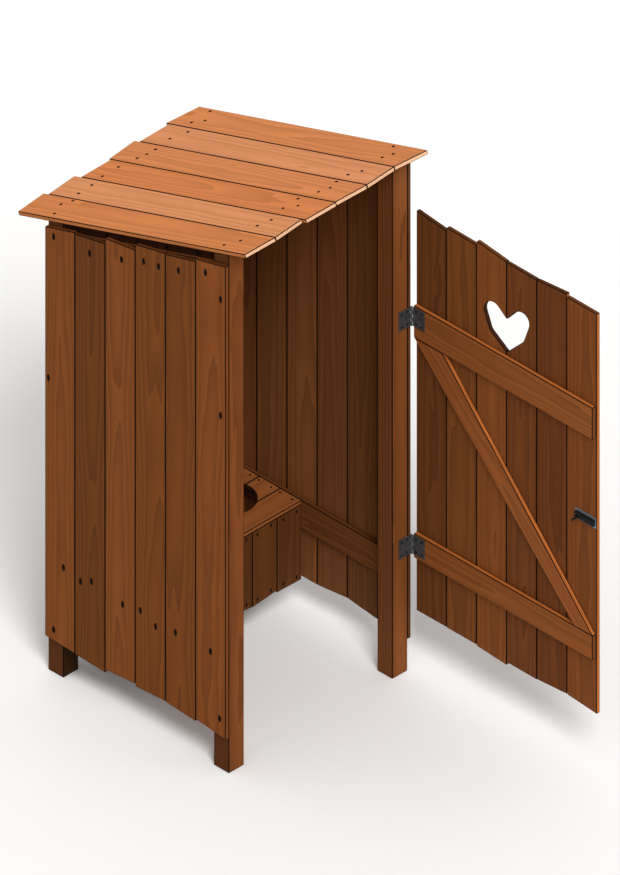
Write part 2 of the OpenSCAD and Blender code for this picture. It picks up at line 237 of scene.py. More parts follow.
@dataclass(frozen=True)
class SawnPine:
    """Stained sawn pine: a matt fibrous surface with soft growth rings, in the colour that each board carries: its
    stain, with painted shade and painted light on some sides.

    Attributes:
        name: The finish's name.
        slot: The record's material slot; not used.
        ring_mm: Spacing of the growth rings, coarser than the real 4 mm so that they show in the render.
        fibre_mm: Width of the saw-torn fibres, coarser than the real 0.5 mm for the same reason.
        fibre_length: Length of a fibre in widths.
        fibre_share: How strongly the fibres shade the wood, with the rings as 1.
        figure_span: Range of rings and fibres together that the shades are spread over.
        contrast: How much darker the late wood is than the stain.
        lift: How much lighter the early wood is than the stain, as a share of contrast.
        wander_per_m: How often the rings wander, along, across and through a board.
        wander_rings: How far they wander, in rings.
        roughness: Roughness of the stained surface.
        rough_span: What the fibres take from that roughness and add to it.
        sheen: Specular level, low because the stain is matt.
        relief_mm: Depth of the torn fibres.
        relief: How much of that depth the light shows.
    """

    name: str
    slot: str
    ring_mm: float = 13.0
    fibre_mm: float = 3.5
    fibre_length: float = 60.0
    fibre_share: float = 0.45
    figure_span: tuple[float, float] = (0.1, 1.2)
    contrast: float = 0.26
    lift: float = 0.45
    wander_per_m: tuple[float, float, float] = (0.9, 7.0, 7.0)
    wander_rings: float = 5.0
    roughness: float = 0.72
    rough_span: tuple[float, float] = (-0.08, 0.12)
    sheen: float = 0.06
    relief_mm: float = 0.6
    relief: float = 0.35

    def material(self) -> bpy.types.Material:
        """Makes the material, or finds it if it is made already.

        Returns:
            The material, which reads each board's grain and its colour, stain with painted shade and painted light,
            from its mesh.
        """
        if self.name in bpy.data.materials:
            return bpy.data.materials[self.name]
        material, tree, shader = new_material(self.name)
        stain = add_node(tree, "ShaderNodeAttribute", {"attribute_name": "stain"}).outputs["Color"]
        grain = add_node(tree, "ShaderNodeAttribute", {"attribute_name": "grain"}).outputs["Vector"]
        per_m = 1 / (self.fibre_mm * MM)
        fibre = noise(tree, grain, (per_m / self.fibre_length, per_m, per_m), detail=4.0)
        figure = calc(tree, "MULTIPLY_ADD", fibre, self.fibre_share, self._rings(tree, grain))
        shade = spread(tree, figure, (1 + self.contrast * self.lift, 1 - self.contrast), self.figure_span)
        colour = add_node(tree, "ShaderNodeVectorMath", {"operation": "SCALE"}, {0: stain, "Scale": shade})
        rough = spread(tree, fibre, [self.roughness + change for change in self.rough_span])
        depth = {"Strength": self.relief, "Distance": self.relief_mm * MM, "Height": figure}
        bump = add_node(tree, "ShaderNodeBump", inputs=depth)
        tree.links.new(colour.outputs["Vector"], shader.inputs["Base Color"])
        tree.links.new(rough, shader.inputs["Roughness"])
        tree.links.new(bump.outputs["Normal"], shader.inputs["Normal"])
        shader.inputs["Specular IOR Level"].default_value = self.sheen
        return material

    def _rings(self, tree: Tree, grain: Socket) -> Socket:
        """Growth rings round a pith that lies beside the board and wanders along it.

        Args:
            tree: The material's node tree.
            grain: The place in the board: along, across and through it, in metres.

        Returns:
            A socket from 0 in early wood to 1 in late wood.
        """
        wander = noise(tree, grain, self.wander_per_m, detail=3.0)
        parts = add_node(tree, "ShaderNodeSeparateXYZ", inputs={0: grain})
        across, through = (calc(tree, "POWER", parts.outputs[name], 2.0) for name in "YZ")
        radius = calc(tree, "SQRT", calc(tree, "ADD", across, through))
        bent = calc(tree, "MULTIPLY_ADD", wander, self.wander_rings * self.ring_mm * MM, radius)
        return calc(tree, "FRACT", calc(tree, "DIVIDE", bent, self.ring_mm * MM))


@dataclass(frozen=True)
class Ironmongery:
    """Coated iron or steel: a soft sheen, clouded where the coating is thin.

    Attributes:
        name: The finish's name.
        slot: The record's material slot; not used.
        colour: Colour of the coating.
        cloud: Colour of the thin places.
        cloud_mm: Size of the thin places.
        cloud_span: Range of the clouds from whole coating to thin.
        metallic: Share of bare metal.
        roughness: Roughness of the coating.
        rough_span: What the clouds take from that roughness and add to it.
        specular: Specular level of the coating.
        relief_mm: Depth of the clouds.
        relief: How much of that depth the light shows.
    """

    name: str
    slot: str
    colour: str
    cloud: str
    cloud_mm: float = 14.0
    cloud_span: tuple[float, float] = (0.35, 0.7)
    metallic: float = 0.55
    roughness: float = 0.5
    rough_span: tuple[float, float] = (-0.1, 0.15)
    specular: float = 0.5
    relief_mm: float = 0.3
    relief: float = 0.2

    def material(self) -> bpy.types.Material:
        """Makes the material, or finds it if it is made already.

        Returns:
            The material.
        """
        if self.name in bpy.data.materials:
            return bpy.data.materials[self.name]
        material, tree, shader = new_material(self.name)
        place = add_node(tree, "ShaderNodeTexCoord").outputs["Object"]
        size = {"Vector": place, "Scale": 1 / (self.cloud_mm * MM), "Detail": 5.0}
        cloud = add_node(tree, "ShaderNodeTexNoise", inputs=size).outputs["Fac"]
        shades = {"A": linear(self.colour), "B": linear(self.cloud)}
        share = spread(tree, cloud, (0.0, 1.0), self.cloud_span)
        colour = add_node(tree, "ShaderNodeMix", {"data_type": "RGBA"}, {"Factor": share, **shades})
        rough = spread(tree, cloud, [self.roughness + change for change in self.rough_span])
        depth = {"Strength": self.relief, "Distance": self.relief_mm * MM, "Height": cloud}
        bump = add_node(tree, "ShaderNodeBump", inputs=depth)
        tree.links.new(colour.outputs["Result"], shader.inputs["Base Color"])
        tree.links.new(rough, shader.inputs["Roughness"])
        tree.links.new(bump.outputs["Normal"], shader.inputs["Normal"])
        shader.inputs["Metallic"].default_value = self.metallic
        shader.inputs["Specular IOR Level"].default_value = self.specular
        return material


# Boards sawn and stained: no highlight, and the late wood shows through the stain as soft darker bands.
WALL_PINE = SawnPine("stained_pine_walls", "wall_boards")
# Painted top light: the roof is the walls' pine painted pale and warm, and its rings stand out less than on the walls.
ROOF_PINE = SawnPine("oiled_pine_roof", "roof_boards", contrast=0.2)
# Stained like the walls; the free edge carries painted light, paler and more orange.
DOOR_PINE = SawnPine("stained_pine_door", "door_boards")
# Posts, rails, ledges and bench: the same stain on thicker timber, so the eye reads one wood throughout.
FRAME_PINE = SawnPine("stained_pine_frame", "frame_timber")
# Blackened in oil: dark grey, with a broad soft highlight along the knuckles.
BLACK_STEEL = Ironmongery("blackened_steel_hinges", "hinge_steel", "#3E3E40", "#545456")
# Zinc gone dull in the weather: blue-grey and brighter than the hinges, so the plate shows round the bolt.
ZINC_STEEL = Ironmongery("dull_zinc_latch", "latch_steel", "#646E78", "#7D8892", metallic=0.7)
# Thick black coating: hardly any highlight, so bolt and case read as one dark shape on the plate.
BOLT_STEEL = Ironmongery(
    "blackened_steel_bolt", "latch_steel", "#08080A", "#121316", metallic=0.1, roughness=0.6, specular=0.2
)
# Iron blackened by the acid of the wood: flat black spots without a highlight.
NAIL_IRON = Ironmongery(
    "black_iron_nails", "hinge_steel", "#060504", "#0E0B09", cloud_mm=4.0, metallic=0.0, roughness=0.8, specular=0.04
)


def new_piece(name: str, mesh: Mesh, material: bpy.types.Material) -> Piece:
    """Links a finished mesh into the scene.

    Args:
        name: The piece's name.
        mesh: Its mesh, which is used up.
        material: Its material.

    Returns:
        The new object.
    """
    data = bpy.data.meshes.new(name)
    mesh.to_mesh(data)
    mesh.free()
    data.materials.append(material)
    piece = bpy.data.objects.new(name, data)
    bpy.context.scene.collection.objects.link(piece)
    return piece


def stand_in(name: str, mesh: Mesh, finish: SawnPine | Ironmongery, node: str, body: str) -> Piece:
    """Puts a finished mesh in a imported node's place.

    Args:
        name: The piece's name.
        mesh: Its mesh, which is used up.
        finish: Its finish.
        node: The node that it stands for.
        body: The body that it rides on.

    Returns:
        The new piece.
    """
    piece = new_piece(name, mesh, finish.material())
    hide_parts(node)
    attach(piece, body)
    return piece


def cut_from(node: Piece, weld_mm: float) -> Mesh:
    """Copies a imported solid, with its flat sides as whole faces.

    Args:
        node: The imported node.
        weld_mm: Distance under which points are one.

    Returns:
        The mesh.
    """
    mesh = bmesh.new()
    mesh.from_mesh(node.data)
    bmesh.ops.remove_doubles(mesh, verts=mesh.verts, dist=weld_mm * MM)
    bmesh.ops.dissolve_limit(mesh, angle_limit=math.radians(FLAT_DEG), verts=mesh.verts, edges=mesh.edges)
    return mesh


def ease(mesh: Mesh, sharp_deg: float, width_mm: float) -> set[Face]:
    """Eases the sharp edges of a mesh.

    Args:
        mesh: The mesh.
        sharp_deg: Angle between two faces from which the edge between them is sharp.
        width_mm: Width of the eased edges.

    Returns:
        The faces of the eased edges.
    """
    sharp = [edge for edge in mesh.edges if edge.calc_face_angle(0.0) > math.radians(sharp_deg)]
    eased = bmesh.ops.bevel(
        mesh, geom=sharp, offset=width_mm * MM, segments=2, profile=0.5, affect="EDGES", clamp_overlap=True
    )
    return set(eased["faces"])


def solids(mesh: Mesh) -> list[list[Face]]:
    """Sorts a mesh's faces into the solids that they bound.

    Args:
        mesh: The mesh.

    Returns:
        One list of faces for each solid.
    """
    left = set(mesh.faces)
    parts = []
    for start in mesh.faces:
        if start not in left:
            continue
        left.remove(start)
        part, reach = [], [start]
        while reach:
            face = reach.pop()
            part.append(face)
            for edge in face.edges:
                for other in edge.link_faces:
                    if other in left:
                        left.remove(other)
                        reach.append(other)
        parts.append(part)
    return parts


def middle(part: Iterable[Face]) -> Vector:
    """Finds the middle of the box round some faces.

    Args:
        part: The faces.

    Returns:
        The middle.
    """
    places = [vert.co for face in part for vert in face.verts]
    low = Vector([min(place[i] for place in places) for i in range(3)])
    high = Vector([max(place[i] for place in places) for i in range(3)])
    return (low + high) / 2


@dataclass
class Timber:
    """Sawn timber cut from one solid node: one board or a row of boards.

    Attributes:
        node: The node that it stands for.
        body: The body that it rides on.
        finish: Its finish.
        stains: Stain of each board's faces, from the board with the lowest place along row to the highest.
        run: The way its grain runs.
        row: The way in which its boards follow each other.
        edge: Colour of the narrow sawn edges, which on the door is painted light, or None for the stain of the faces.
        end: Colour of the sawn ends, which on the roof is painted light, or None for a darker stain than the faces.
        painted_shade: The way that the sides with painted shade face, with the colour of that shade, or None for no
            such sides.
        arris_mm: Width of the eased arrises.
        cut_mm: How far inside a board's ends, and inside its edges, a surface belongs to a cut-out.
    """

    node: str
    body: str
    finish: SawnPine
    stains: Sequence[str]
    run: Run = Run.UP
    row: Run = Run.ACROSS
    edge: str | None = None
    end: str | None = None
    painted_shade: tuple[Vector, str] | None = None
    arris_mm: float = 2.6
    cut_mm: tuple[float, float] = (40.0, 2.5)

    def build(self, nodes: dict[str, Piece]) -> Piece:
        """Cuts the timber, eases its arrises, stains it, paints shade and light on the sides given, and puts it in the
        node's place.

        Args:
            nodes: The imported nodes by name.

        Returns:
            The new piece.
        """
        mesh = cut_from(nodes[self.node], WOOD_WELD_MM)
        axes = [self._axes(board) for board in self._boards(mesh)]
        arrises = ease(mesh, WOOD_SHARP_DEG, self.arris_mm)
        grain = mesh.verts.layers.float_vector.new("grain")
        stain = mesh.loops.layers.float_color.new("stain")
        chance = random.Random(self.node)
        for number, (board, frame) in enumerate(zip(self._boards(mesh), axes)):
            pith = Vector([chance.uniform(*span) for span in PITH_M])
            centre = middle(board)
            verts = {vert for face in board for vert in face.verts}
            half = [max(abs(axis.dot(vert.co - centre)) for vert in verts) for axis in frame]
            for vert in verts:
                vert[grain] = pith + Vector([axis.dot(vert.co - centre) for axis in frame])
            stains = self._stains(self.stains[number % len(self.stains)])
            for face in board:
                side = Side.ARRIS if face in arrises else self._side(face, frame, centre, half)
                for loop in face.loops:
                    loop[stain] = stains[side]
        return stand_in(f"{self.node}_timber", mesh, self.finish, self.node, self.body)

    def _boards(self, mesh: Mesh) -> list[list[Face]]:
        """The faces of each board, in the order of the row."""
        return sorted(solids(mesh), key=lambda part: Vector(self.row.value).dot(middle(part)))

    def _axes(self, board: list[Face]) -> tuple[Vector, Vector, Vector]:
        """Finds the directions of one board, with equal faces told apart by the way they face.

        Args:
            board: The faces of the board.

        Returns:
            The directions along, across and through it.
        """
        if self.run is Run.LONGEST:
            edge = max((edge for face in board for edge in face.edges), key=lambda edge: edge.calc_length())
            along = (edge.verts[1].co - edge.verts[0].co).normalized()
            if along.dot(TIE_BREAK) < 0:
                along.negate()
        else:
            along = Vector(self.run.value)
        sides = [face for face in board if abs(face.normal.dot(along)) < ALONG_LIMIT]
        widest = max(face.calc_area() for face in sides)
        broad = [face.normal.copy() for face in sides if face.calc_area() > SAME_AREA * widest]
        through = max(broad, key=TIE_BREAK.dot)
        return along, through.cross(along), through

    def _side(self, face: Face, frame: Sequence[Vector], centre: Vector, half: Sequence[float]) -> Side:
        """Tells what kind of surface a face is.

        Args:
            face: The face.
            frame: The directions along, across and through its board.
            centre: The middle of the board.
            half: Half the board's size in those directions.

        Returns:
            The kind of surface.
        """
        facing = [abs(face.normal.dot(axis)) for axis in frame]
        way = facing.index(max(facing))
        kind = (Side.END, Side.EDGE, Side.FACE)[way]
        if kind is not Side.FACE:
            inside = half[way] - abs(frame[way].dot(face.calc_center_median() - centre))
            if inside > self.cut_mm[way] * MM:
                return Side.CUT
        # Sides that face the given way get painted shade.
        if self.painted_shade and kind is not Side.END and face.normal.dot(self.painted_shade[0]) > PAINTED_SHADE_LIMIT:
            return Side.PAINTED_SHADE
        return kind

    def _stains(self, face: str) -> dict[Side, Colour]:
        """Mixes the colour of each kind of surface on one board, painted shade and painted light among them.

        Args:
            face: Stain of the board's faces.

        Returns:
            The colours by kind of surface.
        """
        deep = linear(face)
        return {
            Side.FACE: deep,
            Side.EDGE: linear(self.edge) if self.edge else deep,
            Side.END: linear(self.end) if self.end else (*[END_SHADE * light for light in deep[:3]], 1.0),
            Side.CUT: linear(CUT_STAIN),
            Side.PAINTED_SHADE: linear(self.painted_shade[1]) if self.painted_shade else deep,
            Side.ARRIS: linear(ARRIS_STAIN),
        }


@dataclass
class Nails:
    """Nail or screw heads on one set of pieces, joined into one mesh.

    Attributes:
        name: The piece's name.
        body: The body that they ride on.
        spots: Where each head sits, with the direction that it faces.
        width_mm: Width of a head across the grain.
        length_mm: Length of a head along the grain.
        grain: The way the grain runs under the heads.
        dome_mm: Height of a head over the wood.
        sides: Corners of a head.
        profile: Rings of a head from its foot in the wood: share of its width, and share of its height.
    """

    name: str
    body: str
    spots: list[Spot]
    width_mm: float
    length_mm: float
    grain: Run
    dome_mm: float = 2.0
    sides: int = 16
    profile: tuple[tuple[float, float], ...] = ((1.0, -0.4), (1.0, 0.25), (0.86, 0.68), (0.5, 0.93))

    def build(self) -> Piece:
        """Makes the heads as low domes.

        Returns:
            The new piece.
        """
        mesh = bmesh.new()
        for place, normal in self.spots:
            rings = [
                [mesh.verts.new(point) for point in self._ring(place, normal, share, rise)]
                for share, rise in self.profile
            ]
            top = mesh.verts.new(place + normal * self.dome_mm * MM)
            for low, high in zip(rings, rings[1:]):
                for i in range(self.sides):
                    j = (i + 1) % self.sides
                    mesh.faces.new((low[i], low[j], high[j], high[i]))
            for i in range(self.sides):
                mesh.faces.new((rings[-1][i], rings[-1][(i + 1) % self.sides], top))
            mesh.faces.new(list(reversed(rings[0])))
        bmesh.ops.recalc_face_normals(mesh, faces=mesh.faces)
        piece = new_piece(self.name, mesh, NAIL_IRON.material())
        for polygon in piece.data.polygons:
            polygon.use_smooth = True
        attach(piece, self.body)
        return piece

    def _ring(self, place: Vector, normal: Vector, share: float, rise: float) -> list[Vector]:
        """Sets out one ring of a head.

        Args:
            place: Where the head sits.
            normal: The direction that it faces.
            share: Size of the ring as a share of the head's.
            rise: Height of the ring as a share of the head's.

        Returns:
            The points of the ring, in order round the head.
        """
        grain = Vector(self.grain.value)
        along = (grain - normal * grain.dot(normal)).normalized()
        across = normal.cross(along)
        points = []
        for step in range(self.sides):
            turn = 2 * math.pi * step / self.sides
            side = across * math.cos(turn) * self.width_mm / 2 + along * math.sin(turn) * self.length_mm / 2
            points.append(place + (side * share + normal * rise * self.dome_mm) * MM)
        return points


@dataclass
class Metalwork:
    """A hinge leaf or latch piece cut from one solid node, with its edges eased.

    Attributes:
        node: The node that it stands for.
        body: The body that it rides on.
        finish: Its finish.
        ease_mm: Width of the eased edges.
    """

    node: str
    body: str
    finish: Ironmongery
    ease_mm: float = 0.4

    def build(self, nodes: dict[str, Piece]) -> Piece:
        """Eases the edges and puts the piece in the node's place.

        Args:
            nodes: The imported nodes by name.

        Returns:
            The new piece.
        """
        mesh = cut_from(nodes[self.node], STEEL_WELD_MM)
        ease(mesh, STEEL_SHARP_DEG, self.ease_mm)
        return stand_in(f"{self.node}_steel", mesh, self.finish, self.node, self.body)


def pairs(low: float, high: float, count: int, seed: str) -> list[tuple[float, random.Random]]:
    """Places two nails across each board of a row, as unevenly as by hand.

    Args:
        low: Where the row starts.
        high: Where the row ends.
        count: Boards in the row.
        seed: What the unevenness is drawn from.

    Returns:
        Each place along the row, with the source of chance for the nail there.
    """
    chance = random.Random(seed)
    step = (high - low) / count
    return [
        (low + (board + share + chance.uniform(-NAIL_STRAY, NAIL_STRAY)) * step, chance)
        for board in range(count)
        for share in NAIL_SHARES
    ]


class Plan:
    """The plan frame: X from the left posts' outer face, Y from the front posts' front face, in millimetres."""

    def __init__(self) -> None:
        """Finds the plan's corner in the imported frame."""
        self.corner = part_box("front_left_post")[0]

    def at(self, x: float, y: float, z: float) -> Vector:
        """A plan point in the scene."""
        return Vector(self.corner) + Vector((x, y, z)) * MM


@dataclass
class Frame:
    """Posts, purlins and rails.

    Attributes:
        body: The body that they ride on.
        posts: Colour of each post's faces, with the painted shade of its left side.
        timbers: Stain of each purlin and rail, with the way its grain runs.
        post_arris_mm: Width of the posts' eased arrises.
    """

    body: str = "outhouse"
    posts: dict[str, tuple[str, str]] = field(
        default_factory=lambda: {
            # The left sides are painted shade. The back left post's faces are painted shade too, nearly black as under
            # the wall; the front right post's are painted lighter against the door's shadow.
            "front_left_post": ("#77411D", "#512B0F"),
            "front_right_post": ("#7E4721", "#6C3D1C"),
            "back_left_post": ("#34200B", "#512B0F"),
            "back_right_post": ("#77411D", "#6C3D1C"),
        }
    )
    timbers: dict[str, tuple[str, Run]] = field(
        default_factory=lambda: {
            "front_purlin": ("#64391C", Run.ACROSS),
            "back_purlin": ("#64391C", Run.ACROSS),
            "left_rail": ("#6D3F1E", Run.DEEP),
            "right_rail": ("#6D3F1E", Run.DEEP),
            "left_top_rail": ("#64391C", Run.LONGEST),
            "right_top_rail": ("#64391C", Run.LONGEST),
            "back_rail": ("#64391C", Run.ACROSS),
        }
    )
    post_arris_mm: float = 3.0

    def pieces(self) -> list[Timber]:
        """Lists the timbers of the frame.

        Returns:
            The timbers, not yet built.
        """
        # Each post's left side gets painted shade.
        made = [
            Timber(name, self.body, FRAME_PINE, [stain], painted_shade=(LEFT, shade), arris_mm=self.post_arris_mm)
            for name, (stain, shade) in self.posts.items()
        ]
        made += [Timber(name, self.body, FRAME_PINE, [stain], run) for name, (stain, run) in self.timbers.items()]
        return made


@dataclass
class Walls:
    """The three board walls and their nails.

    Attributes:
        body: The body that they ride on.
        left: Stain of each board of the left wall, from the front.
        right: Stain of each board of the right wall, from the front, painted lighter further back against the deeper
            shade inside.
        back: Stain of each board of the back wall, from the left.
        inside: Painted shade on the back wall's inside, which little light reaches.
        nail_mm: Width and length of a nail head.
        left_nails: Where the left wall's nails stand as drawn, in plan Y and Z.
        right_stray_mm: How far the right wall's nails stray up or down.
        back_stray_mm: How far the back wall's nails stray up or down.
        purlin_nail_mm: Height of the back wall's upper nails over the underside of the purlin.
    """

    body: str = "outhouse"
    left: tuple[str, ...] = ("#7A421A", "#6F3C16", "#703D16", "#79421B", "#643612", "#79421A")
    right: tuple[str, ...] = ("#64391C", "#6A4021", "#784726", "#88532C", "#82512C", "#7F4D2A")
    back: tuple[str, ...] = ("#6E3D1E", "#7A4421", "#64391C", "#703F1E", "#7A4421", "#64391C")
    inside: str = "#3E2212"
    nail_mm: tuple[float, float] = (14.0, 29.0)
    left_nails: tuple[tuple[float, float], ...] = (
        (828, 1833), (655, 1849), (501, 1901), (395, 1946), (323, 1961), (227, 1992), (97, 2049), (24, 1973),
        (24, 1489), (853, 1233), (828, 195), (780, 477), (698, 460), (646, 486), (496, 465), (410, 483),
        (337, 453), (241, 476), (73, 481), (29, 223),
    )
    right_stray_mm: float = 15.0
    back_stray_mm: float = 8.0
    purlin_nail_mm: float = 12.0

    def pieces(self) -> list[Timber]:
        """Lists the walls.

        Returns:
            The walls, not yet built.
        """
        return [
            Timber("left_wall", self.body, WALL_PINE, self.left, row=Run.DEEP),
            Timber("right_wall", self.body, WALL_PINE, self.right, row=Run.DEEP),
            # The back wall's inside gets painted shade.
            Timber("back_wall", self.body, WALL_PINE, self.back, painted_shade=(FRONT, self.inside)),
        ]

    def nails(self, plan: Plan) -> list[Nails]:
        """Lists the nails: the left wall's as drawn, the others two to a board at each rail.

        Args:
            plan: The plan frame.

        Returns:
            The nails of each wall, not yet built.
        """
        left_x = (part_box("left_wall")[0][0] - plan.corner[0]) / MM
        drawn = [(plan.at(left_x, y, z), LEFT) for y, z in self.left_nails]
        return [
            Nails("left_wall_nails", self.body, drawn, *self.nail_mm, Run.UP),
            Nails("right_wall_nails", self.body, self._right_spots(), *self.nail_mm, Run.UP),
            Nails("back_wall_nails", self.body, self._back_spots(), *self.nail_mm, Run.UP),
        ]

    def _right_spots(self) -> list[Spot]:
        """Sets out two nails to a board of the right wall, at its rail and at its sloping top rail.

        Returns:
            Where each nail sits, with the direction that it faces.
        """
        low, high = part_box("right_wall")
        rail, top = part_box("right_rail"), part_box("right_top_rail")
        height = rail[1][2] - rail[0][2]
        spots = []
        for place, chance in pairs(low[1], high[1], len(self.right), "right_wall"):
            share = (place - top[0][1]) / (top[1][1] - top[0][1])
            upper = top[1][2] - height / 2 - share * (top[1][2] - top[0][2] - height)
            for z in ((rail[0][2] + rail[1][2]) / 2, upper):
                stray = chance.uniform(-self.right_stray_mm, self.right_stray_mm) * MM
                spots.append((Vector((high[0], place, z + stray)), RIGHT))
        return spots

    def _back_spots(self) -> list[Spot]:
        """Sets out two nails to a board of the back wall, at its rail and at the purlin.

        Returns:
            Where each nail sits, with the direction that it faces.
        """
        low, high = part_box("back_wall")
        rail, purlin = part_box("back_rail"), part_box("back_purlin")
        spots = []
        for place, chance in pairs(low[0], high[0], len(self.back), "back_wall"):
            for z in ((rail[0][2] + rail[1][2]) / 2, purlin[0][2] + self.purlin_nail_mm * MM):
                stray = chance.uniform(-self.back_stray_mm, self.back_stray_mm) * MM
                spots.append((Vector((place, high[1], z + stray)), BACK))
        return spots


@dataclass
class Roof:
    """The six roof boards and their nails.

    Attributes:
        body: The body that they ride on.
        stains: Colour of each board, from the left, painted pale as painted top light.
        edge: Stain of the boards' sawn edges.
        end: Colour of their ends, painted pale as painted light on lit faces.
        nail_mm: Width of a nail head.
        nails_at: Where the nails over the two purlins stand as drawn, in plan X and Y.
    """

    body: str = "outhouse"
    stains: tuple[str, ...] = ("#D1814A", "#D88F5E", "#D3804A", "#D58551", "#D88E5E", "#D3844E")
    edge: str = "#AB6736"
    end: str = "#E8B58F"
    nail_mm: float = 12.0
    nails_at: tuple[tuple[float, float], ...] = (
        (30, 53), (77, 21), (191, 54), (244, 40), (331, 70), (365, 32), (409, 76), (476, 45), (516, 28), (561, 43),
        (619, 45), (659, 18), (768, 30), (803, 12), (851, 59),
        (25, 864), (90, 898), (126, 877), (179, 903), (247, 907), (315, 924), (392, 924), (469, 911), (507, 902),
        (547, 900), (631, 915), (695, 893), (759, 939), (787, 902), (852, 942),
    )

    def pieces(self) -> list[Timber]:
        """The boards of the roof, not yet built."""
        # The boards' pale colours and pale ends are painted light.
        return [Timber("roof", self.body, ROOF_PINE, self.stains, Run.LONGEST, edge=self.edge, end=self.end)]

    def nails(self, plan: Plan, pieces: dict[str, Piece]) -> list[Nails]:
        """Lists the nails, set on the roof's upper face.

        Args:
            plan: The plan frame.
            pieces: The built pieces by node.

        Returns:
            The nails, not yet built.
        """
        polygon = max(pieces["roof"].data.polygons, key=lambda polygon: polygon.area * polygon.normal.z)
        normal, point = polygon.normal.copy(), polygon.center.copy()
        spots = []
        for x, y in self.nails_at:
            place = plan.at(x, y, 0)
            place.z = point.z - (normal.x * (place.x - point.x) + normal.y * (place.y - point.y)) / normal.z
            spots.append((place, normal))
        return [Nails("roof_nails", self.body, spots, self.nail_mm, self.nail_mm, Run.DEEP)]


@dataclass
class Bench:
    """The seat, its front and what carries them.

    Attributes:
        body: The body that they ride on.
        seat: Stain of the seat.
        front: Stain of each board of the front, from the left.
        hidden: Stain of the timbers under the seat.
        seat_boards: Nodes of the seat, from the front; all but the last are nailed down.
        across: Nodes of the timbers under the seat that run across.
        deep: Nodes of the timbers under the seat that run from front to back.
        front_nail_mm: Width and length of a nail head on the front.
        front_dome_mm: Height of a nail head on the front.
        front_stray_mm: How far those nails stray up or down.
        seat_nail_mm: Width of a nail head on the seat.
        seat_dome_mm: Height of a nail head on the seat.
        seat_shares: Where the nails stand across a seat board, as shares of its width.
        end_mm: Distance of a nail from a board's end.
        foot_nail_mm: Height of the front's lower nails over the longest board's foot.
    """

    body: str = "outhouse"
    seat: str = "#9B5B2F"
    front: tuple[str, ...] = ("#5C3416", "#643916", "#5C3416", "#6B3E1B", "#573113", "#613716", "#5F3618")
    hidden: str = "#5C3419"
    seat_boards: tuple[str, ...] = ("seat_front_board", "seat_middle_board", "seat_back_board", "seat_filler_board")
    across: tuple[str, ...] = ("back_seat_cleat", "bench_top_bearer", "bench_bottom_bearer")
    deep: tuple[str, ...] = ("left_seat_cleat", "right_seat_cleat", "seat_batten")
    front_nail_mm: tuple[float, float] = (8.0, 16.0)
    front_dome_mm: float = 1.5
    front_stray_mm: float = 6.0
    seat_nail_mm: float = 9.0
    seat_dome_mm: float = 1.2
    seat_shares: tuple[float, float] = (0.27, 0.86)
    end_mm: float = 18.0
    foot_nail_mm: float = 27.0

    def pieces(self) -> list[Timber]:
        """Lists the timbers of the bench.

        Returns:
            The timbers, not yet built.
        """
        made = [Timber(name, self.body, FRAME_PINE, [self.seat], Run.ACROSS) for name in self.seat_boards]
        made.append(Timber("bench_front", self.body, FRAME_PINE, self.front))
        made += [Timber(name, self.body, FRAME_PINE, [self.hidden], Run.ACROSS) for name in self.across]
        made += [Timber(name, self.body, FRAME_PINE, [self.hidden], Run.DEEP) for name in self.deep]
        return made

    def nails(self) -> list[Nails]:
        """Lists the nails: two at each end of every board.

        Returns:
            The nails of the front and those of the seat, not yet built.
        """
        low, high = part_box("bench_front")
        front = []
        for place, chance in pairs(low[0], high[0], len(self.front), "bench_front"):
            for z in (low[2] + self.foot_nail_mm * MM, high[2] - self.end_mm * MM):
                stray = chance.uniform(-self.front_stray_mm, self.front_stray_mm) * MM
                front.append((Vector((place, low[1], z + stray)), FRONT))
        seat = []
        for name in self.seat_boards[:-1]:
            low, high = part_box(name)
            for x in (low[0] + self.end_mm * MM, high[0] - self.end_mm * MM):
                for share in self.seat_shares:
                    seat.append((Vector((x, low[1] + share * (high[1] - low[1]), high[2])), TOP))
        round_mm = (self.seat_nail_mm, self.seat_nail_mm)
        return [
            Nails("bench_nails", self.body, front, *self.front_nail_mm, Run.UP, self.front_dome_mm),
            Nails("seat_nails", self.body, seat, *round_mm, Run.ACROSS, self.seat_dome_mm),
        ]


